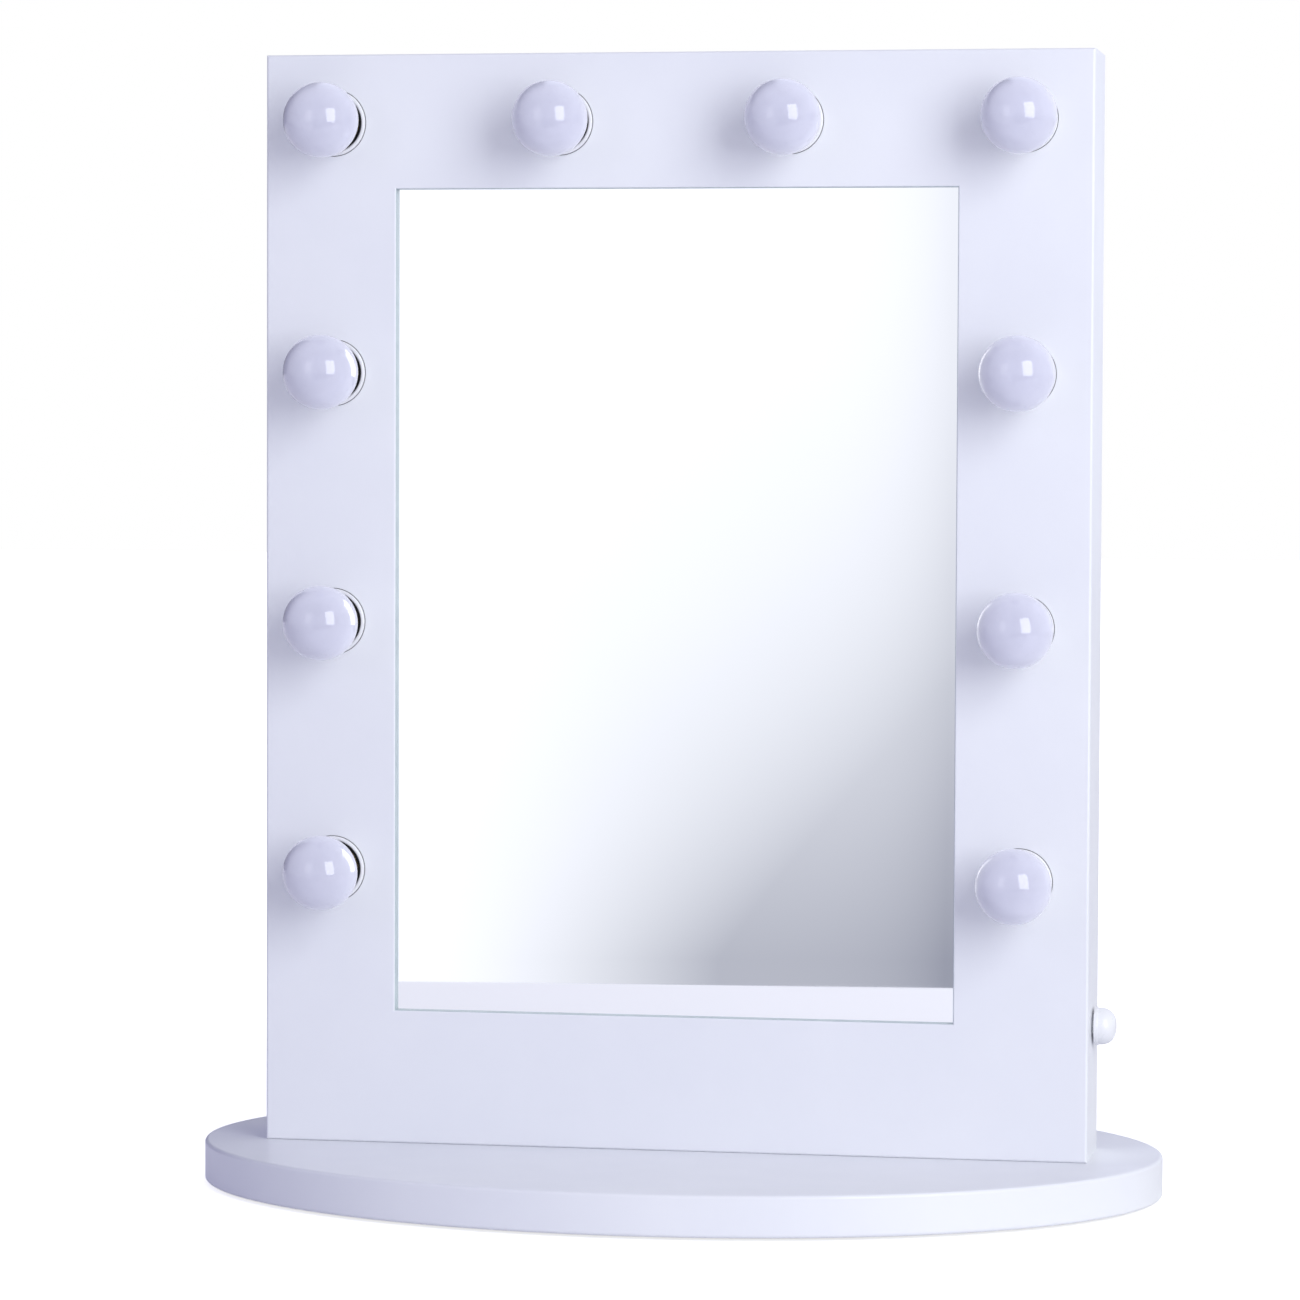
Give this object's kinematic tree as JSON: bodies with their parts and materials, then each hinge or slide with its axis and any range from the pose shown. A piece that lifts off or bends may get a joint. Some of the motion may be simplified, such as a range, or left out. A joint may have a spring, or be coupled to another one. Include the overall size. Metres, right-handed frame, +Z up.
{
  "type": "lighted vanity mirror",
  "caption": "Tabletop vanity mirror: white lacquered box frame on an oval base, globe lamps along its top and sides, and a dimmer knob on its right side.",
  "frame": {"origin": "on the table top, below the middle of the oval base", "axes": "+Z up; -Y is the side with the mirror and lamps; +X is the viewer's right, the side with the dimmer knob"},
  "size_m": [0.584, 0.4039, 0.6835],
  "materials": {
    "white_lacquer": "satin white lacquer on fibreboard",
    "back_board": "thin fibreboard, painted white",
    "mirror_silver": "silvered float glass, polished",
    "frosted_globe": "frosted inside, glossy outside",
    "housing_white": "white moulded plastic",
    "cap_nickel": "nickel-plated rolled shell",
    "holder_white": "white moulded plastic",
    "contact_brass": "stamped brass",
    "zinc_steel": "zinc-plated steel",
    "dimmer_black": "black moulded plastic",
    "knob_white": "white moulded plastic",
    "gland_black": "black nylon",
    "wire_white": "white flexible insulation",
    "grey_rubber": "soft dark grey rubber"
  },
  "bodies": {
    "case": {"back_panel": "back_board", "base_plate": "white_lacquer", "base_screws": "zinc_steel", "bottom_panel": "white_lacquer", "cable_gland": "gland_black", "dimmer_housing": "dimmer_black", "dimmer_nut": "zinc_steel", "front_panel": "white_lacquer", "lampholder_01": "holder_white", "lampholder_02": "holder_white", "lampholder_03": "holder_white", "lampholder_04": "holder_white", "lampholder_05": "holder_white", "lampholder_06": "holder_white", "lampholder_07": "holder_white", "lampholder_08": "holder_white", "lampholder_09": "holder_white", "lampholder_10": "holder_white", "lampholder_contacts": "contact_brass", "lampholder_nuts": "holder_white", "left_side_panel": "white_lacquer", "mirror_clips": "zinc_steel", "mirror_glass": "mirror_silver", "right_side_panel": "white_lacquer", "rubber_feet": "grey_rubber", "top_panel": "white_lacquer", "wiring_harness": "wire_white", "wood_screws": "zinc_steel"},
    "bulb_01": {"bulb_01_globe": "frosted_globe", "bulb_01_housing": "housing_white", "bulb_01_cap": "cap_nickel"},
    "bulb_02": {"bulb_02_globe": "frosted_globe", "bulb_02_housing": "housing_white", "bulb_02_cap": "cap_nickel"},
    "bulb_03": {"bulb_03_globe": "frosted_globe", "bulb_03_housing": "housing_white", "bulb_03_cap": "cap_nickel"},
    "bulb_04": {"bulb_04_globe": "frosted_globe", "bulb_04_housing": "housing_white", "bulb_04_cap": "cap_nickel"},
    "bulb_05": {"bulb_05_globe": "frosted_globe", "bulb_05_housing": "housing_white", "bulb_05_cap": "cap_nickel"},
    "bulb_06": {"bulb_06_globe": "frosted_globe", "bulb_06_housing": "housing_white", "bulb_06_cap": "cap_nickel"},
    "bulb_07": {"bulb_07_globe": "frosted_globe", "bulb_07_housing": "housing_white", "bulb_07_cap": "cap_nickel"},
    "bulb_08": {"bulb_08_globe": "frosted_globe", "bulb_08_housing": "housing_white", "bulb_08_cap": "cap_nickel"},
    "bulb_09": {"bulb_09_globe": "frosted_globe", "bulb_09_housing": "housing_white", "bulb_09_cap": "cap_nickel"},
    "bulb_10": {"bulb_10_globe": "frosted_globe", "bulb_10_housing": "housing_white", "bulb_10_cap": "cap_nickel"},
    "dimmer": {"dimmer_knob": "knob_white", "dimmer_shaft": "zinc_steel"}
  },
  "joints": [
    {"name": "bulb_01_draw", "type": "slide", "parent": "case", "child": "bulb_01", "axis": [0, -1, 0], "range_m": [0, 0.032]},
    {"name": "bulb_02_draw", "type": "slide", "parent": "case", "child": "bulb_02", "axis": [0, -1, 0], "range_m": [0, 0.032]},
    {"name": "bulb_03_draw", "type": "slide", "parent": "case", "child": "bulb_03", "axis": [0, -1, 0], "range_m": [0, 0.032]},
    {"name": "bulb_04_draw", "type": "slide", "parent": "case", "child": "bulb_04", "axis": [0, -1, 0], "range_m": [0, 0.032]},
    {"name": "bulb_05_draw", "type": "slide", "parent": "case", "child": "bulb_05", "axis": [0, -1, 0], "range_m": [0, 0.032]},
    {"name": "bulb_06_draw", "type": "slide", "parent": "case", "child": "bulb_06", "axis": [0, -1, 0], "range_m": [0, 0.032]},
    {"name": "bulb_07_draw", "type": "slide", "parent": "case", "child": "bulb_07", "axis": [0, -1, 0], "range_m": [0, 0.032]},
    {"name": "bulb_08_draw", "type": "slide", "parent": "case", "child": "bulb_08", "axis": [0, -1, 0], "range_m": [0, 0.032]},
    {"name": "bulb_09_draw", "type": "slide", "parent": "case", "child": "bulb_09", "axis": [0, -1, 0], "range_m": [0, 0.032]},
    {"name": "bulb_10_draw", "type": "slide", "parent": "case", "child": "bulb_10", "axis": [0, -1, 0], "range_m": [0, 0.032]},
    {"name": "dimmer_turn", "type": "hinge", "parent": "case", "child": "dimmer", "pos_m": [0.25, 0, 0.1045], "axis": [-1, 0, 0], "range_deg": [0, 300]}
  ]
}
